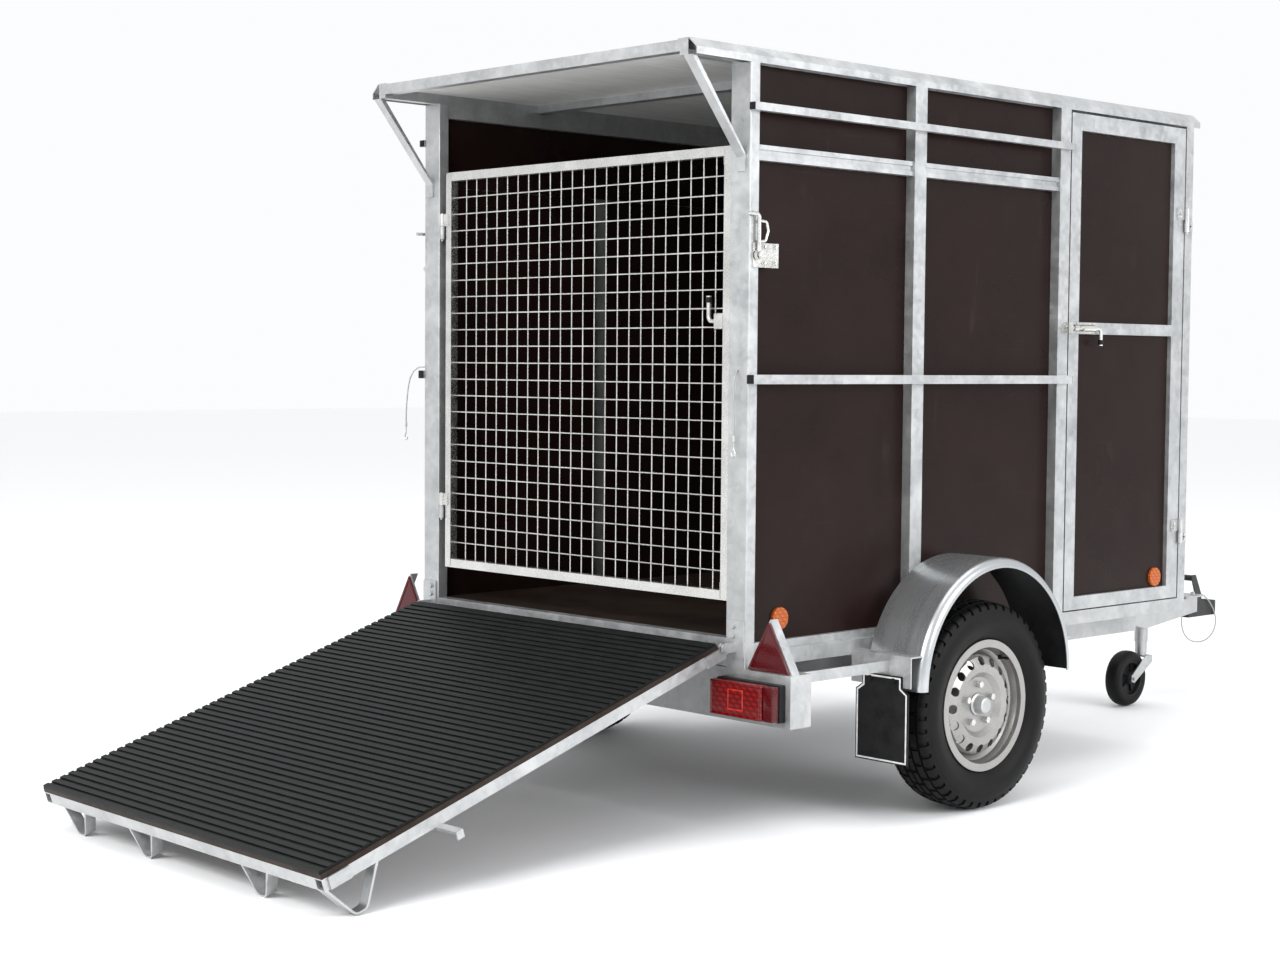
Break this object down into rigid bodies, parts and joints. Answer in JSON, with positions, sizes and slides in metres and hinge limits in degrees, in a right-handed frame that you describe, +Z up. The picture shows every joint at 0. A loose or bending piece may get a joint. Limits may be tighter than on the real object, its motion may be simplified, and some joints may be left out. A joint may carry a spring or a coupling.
{
  "type": "livestock trailer",
  "caption": "Single-axle livestock trailer with a galvanised frame, dark panelled body, flat roof, mesh rear gate, side door and lowered rubber-matted loading ramp.",
  "frame": {"origin": "on the ground under the middle of the overall length, on the body's centre plane", "axes": "+Y is the travel direction, from the ramp to the coupling; +X is the right-hand side, with the door; +Z is up"},
  "size_m": [1.78, 4.5792, 2.029],
  "materials": {
    "galvanised_steel": "hot-dip galvanised, matt grey with faint spangle and water marks",
    "faced_plywood": "film-faced plywood, dark brown, satin, faint mesh and scuffs",
    "white_panel": "plywood faced with an off-white satin laminate",
    "black_rubber": "matt black rubber with pale dust",
    "tyre_rubber": "matt black tyre with a dusty tread",
    "silver_paint": "satin silver wheel paint",
    "black_plastic": "moulded black plastic",
    "red_lens": "moulded red lens with prisms",
    "amber_lens": "moulded amber reflector",
    "zinc_plate": "bright zinc plate",
    "steel_wire": "stranded galvanised wire rope",
    "cast_steel": "zinc-coated forging"
  },
  "bodies": {
    "trailer": {"rear_posts": "galvanised_steel", "body_frame": "galvanised_steel", "side_rails": "galvanised_steel", "side_bars": "galvanised_steel", "wall_panels": "faced_plywood", "vent_panels": "faced_plywood", "roof_panel": "white_panel", "roof_frame": "galvanised_steel", "roof_stays": "galvanised_steel", "floor_board": "faced_plywood", "chassis": "galvanised_steel", "drawbar_arms": "galvanised_steel", "axle_beam": "galvanised_steel", "torsion_rubbers": "black_rubber", "mudguards": "galvanised_steel", "mudguard_brackets": "galvanised_steel", "mudflaps": "black_rubber", "light_bar": "galvanised_steel", "lamp_bases": "black_plastic", "red_lenses": "red_lens", "side_reflectors": "amber_lens", "body_hinges": "galvanised_steel", "latch_plates": "galvanised_steel", "coupling_head": "cast_steel", "jockey_clamp": "galvanised_steel", "catch_wire_left": "steel_wire", "catch_wire_right": "steel_wire", "breakaway_cable": "steel_wire", "wire_ends": "steel_wire"},
    "ramp": {"ramp_frame": "galvanised_steel", "ramp_board": "faced_plywood", "ramp_mat": "black_rubber", "ramp_feet": "galvanised_steel"},
    "gate": {"gate_frame": "galvanised_steel", "gate_mesh": "galvanised_steel"},
    "gate_bolt": {"gate_bolt": "zinc_plate"},
    "door": {"door_frame": "galvanised_steel", "door_panels": "faced_plywood", "door_bolt_base": "galvanised_steel", "door_reflector": "amber_lens"},
    "door_bolt": {"door_bolt": "zinc_plate"},
    "lever_right": {"latch_lever_right": "zinc_plate"},
    "lever_left": {"latch_lever_left": "zinc_plate"},
    "arm_right": {"swing_arm_right": "cast_steel"},
    "arm_left": {"swing_arm_left": "cast_steel"},
    "wheel_right": {"hub_right": "galvanised_steel", "rim_right": "silver_paint", "tyre_right": "tyre_rubber", "wheel_bolts_right": "zinc_plate"},
    "wheel_left": {"hub_left": "galvanised_steel", "rim_left": "silver_paint", "tyre_left": "tyre_rubber", "wheel_bolts_left": "zinc_plate"},
    "jockey_tube": {"jockey_tube": "galvanised_steel"},
    "jockey_inner": {"jockey_inner_tube": "galvanised_steel"},
    "crank": {"jockey_crank": "zinc_plate"},
    "fork": {"jockey_fork": "galvanised_steel"},
    "jockey_wheel": {"jockey_wheel": "black_rubber"},
    "clamp_screw": {"clamp_screw": "zinc_plate"},
    "handle": {"coupling_handle": "cast_steel"}
  },
  "joints": [
    {"name": "ramp", "type": "hinge", "parent": "trailer", "child": "ramp", "pos_m": [0, -1.04837, 0.495], "axis": [-1, 0, 0], "range_deg": [0, 108]},
    {"name": "gate", "type": "hinge", "parent": "trailer", "child": "gate", "pos_m": [-0.593, -1.00637, 1.2], "axis": [0, 0, 1], "range_deg": [-105, 0]},
    {"name": "gate_bolt", "type": "slide", "parent": "gate", "child": "gate_bolt", "axis": [1, 0, 0], "range_m": [0, 0.013]},
    {"name": "door", "type": "hinge", "parent": "trailer", "child": "door", "pos_m": [0.682, 0.98563, 1.2], "axis": [0, 0, -1], "range_deg": [-100, 0]},
    {"name": "door_bolt", "type": "slide", "parent": "door", "child": "door_bolt", "axis": [0, -1, 0], "range_m": [0, 0.023]},
    {"name": "latch_right", "type": "hinge", "parent": "trailer", "child": "lever_right", "pos_m": [0.684, -0.98637, 1.5], "axis": [1, 0, 0], "range_deg": [0, 90]},
    {"name": "latch_left", "type": "hinge", "parent": "trailer", "child": "lever_left", "pos_m": [-0.684, -0.98637, 1.5], "axis": [1, 0, 0], "range_deg": [0, 90]},
    {"name": "suspension_right", "type": "hinge", "parent": "trailer", "child": "arm_right", "pos_m": [0.667, -0.09837, 0.333], "axis": [1, 0, 0], "range_deg": [-15, 10], "stiffness_Nm_per_rad": 2500, "springref_deg": 5.91},
    {"name": "suspension_left", "type": "hinge", "parent": "trailer", "child": "arm_left", "pos_m": [-0.667, -0.09837, 0.333], "axis": [1, 0, 0], "range_deg": [-15, 10], "stiffness_Nm_per_rad": 2500, "springref_deg": 5.91},
    {"name": "wheel_right", "type": "hinge", "parent": "arm_right", "child": "wheel_right", "pos_m": [0.792, -0.24137, 0.289], "axis": [1, 0, 0], "continuous": true},
    {"name": "wheel_left", "type": "hinge", "parent": "arm_left", "child": "wheel_left", "pos_m": [-0.792, -0.24137, 0.289], "axis": [1, 0, 0], "continuous": true},
    {"name": "jockey_clamp_slide", "type": "slide", "parent": "trailer", "child": "jockey_tube", "axis": [0, 0, 1], "range_m": [0, 0.07]},
    {"name": "jockey_lift", "type": "slide", "parent": "jockey_tube", "child": "jockey_inner", "axis": [0, 0, 1], "range_m": [-0.15, 0.04]},
    {"name": "jockey_crank", "type": "hinge", "parent": "jockey_tube", "child": "crank", "pos_m": [0.09, 1.67963, 0.65], "axis": [0, 0, 1], "continuous": true},
    {"name": "jockey_swivel", "type": "hinge", "parent": "jockey_inner", "child": "fork", "pos_m": [0.09, 1.67963, 0.18], "axis": [0, 0, 1], "continuous": true},
    {"name": "jockey_roll", "type": "hinge", "parent": "fork", "child": "jockey_wheel", "pos_m": [0.09, 1.58463, 0.1], "axis": [1, 0, 0], "continuous": true},
    {"name": "clamp_screw", "type": "hinge", "parent": "trailer", "child": "clamp_screw", "pos_m": [0.09, 1.72163, 0.33], "axis": [1, 0, 0], "continuous": true},
    {"name": "coupling_handle", "type": "hinge", "parent": "trailer", "child": "handle", "pos_m": [0, 2.14363, 0.329], "axis": [-1, 0, 0], "range_deg": [0, 37], "stiffness_Nm_per_rad": 6, "springref_deg": -11.46}
  ],
  "couplings": [
    {"joint": "jockey_crank", "follows": "jockey_lift", "rad_per_m": 1256.6}
  ]
}
